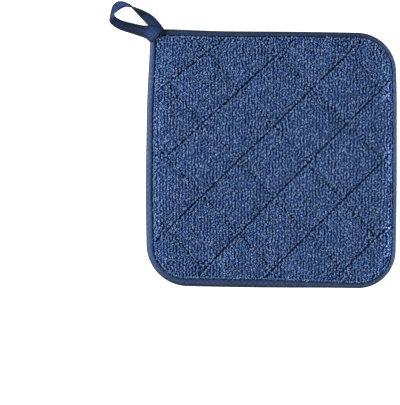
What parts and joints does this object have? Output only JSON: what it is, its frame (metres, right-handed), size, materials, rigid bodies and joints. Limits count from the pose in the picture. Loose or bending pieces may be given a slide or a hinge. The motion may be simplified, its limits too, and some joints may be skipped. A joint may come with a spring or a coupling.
{
  "type": "pot holder",
  "caption": "Square quilted terry pot holder, bound with cotton tape, with a tape hanging loop at one corner.",
  "frame": {"origin": "on the underside of the pad, at the middle of its plan, where it lies flat on the surface", "axes": "+Z out of the front face, up as it lies on its back; +Y towards the upper edge; +X towards the right edge, away from the hanging loop"},
  "size_m": [0.2038, 0.2012, 0.0083],
  "materials": {
    "terry": "blue cotton terry, looped pile in upright ribs",
    "binding": "blue plain-woven cotton tape, matt",
    "loop_tape": "dark blue plain-woven cotton tape, matt"
  },
  "bodies": {
    "root": {"quilted_pad": "terry", "edge_binding": "binding", "hanging_loop": "loop_tape"}
  },
  "joints": []
}
